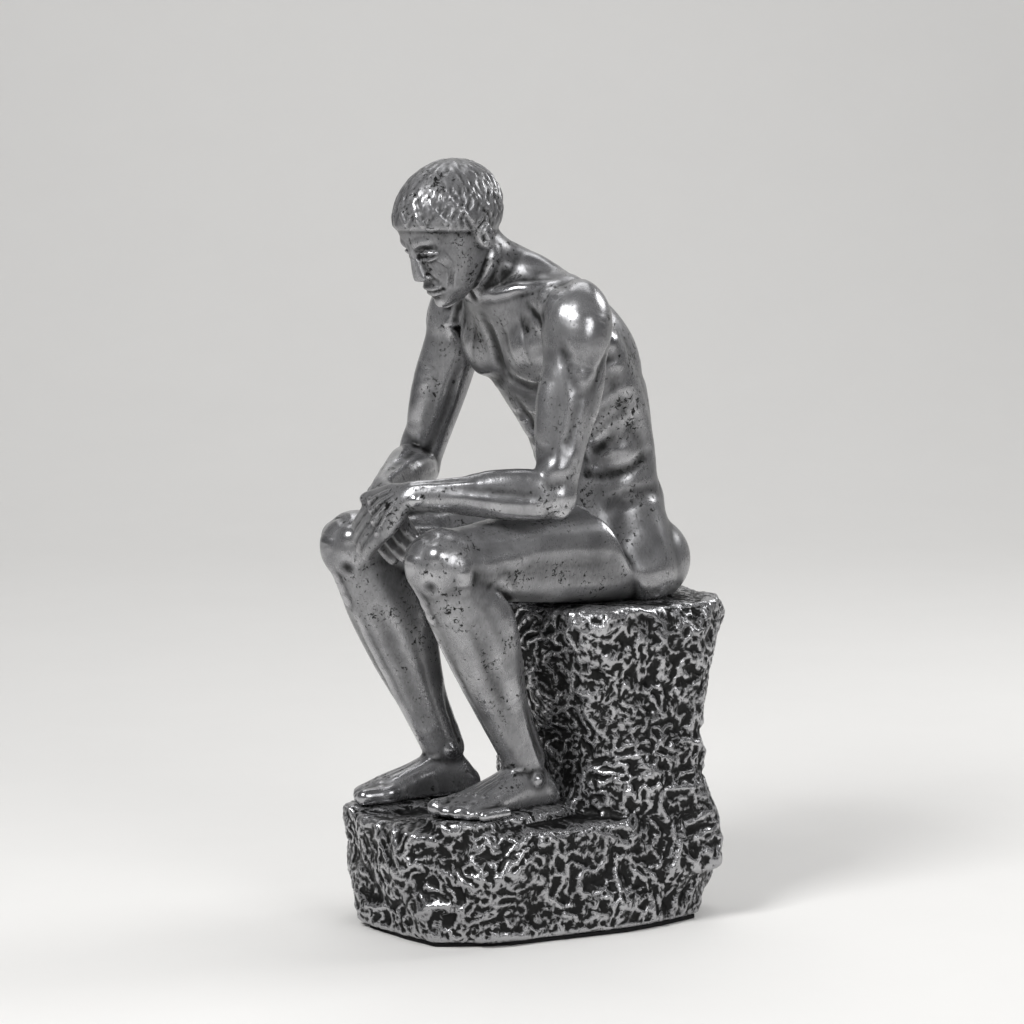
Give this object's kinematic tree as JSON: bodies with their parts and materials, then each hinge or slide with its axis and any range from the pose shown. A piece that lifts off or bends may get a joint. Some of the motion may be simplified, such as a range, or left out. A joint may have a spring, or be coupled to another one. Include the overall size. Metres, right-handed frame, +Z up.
{
  "type": "seated figure statuette",
  "caption": "Seated contemplative figure on a rough rock, forearms on its thighs and hands folded: an antique-silver resin shelf ornament that stands on a felted base.",
  "frame": {"origin": "on the table, at the middle of the felt's width under the rock, below the front of the seat", "axes": "+Z up, -Y the way the figure faces, +X the figure's left side"},
  "size_m": [0.1017, 0.128, 0.2503],
  "materials": {
    "figure_resin": "antique silver rubbed over black paint, semi-gloss",
    "rock_resin": "antique silver dry-brushed over black, rough",
    "plate_resin": "black, matt",
    "ballast": "cast, rough",
    "felt": "black felt",
    "dowel_steel": "drawn"
  },
  "bodies": {
    "root": {"torso": "figure_resin", "head": "figure_resin", "left_leg": "figure_resin", "right_leg": "figure_resin", "left_arm": "figure_resin", "right_arm": "figure_resin", "left_hand": "figure_resin", "right_hand": "figure_resin", "rock_base": "rock_resin", "base_plate": "plate_resin", "ballast_block": "ballast", "felt_pad": "felt", "seat_dowels": "dowel_steel", "hip_dowels": "dowel_steel", "foot_dowels": "dowel_steel", "shoulder_dowels": "dowel_steel", "wrist_dowels": "dowel_steel", "neck_dowel": "dowel_steel"}
  },
  "joints": []
}
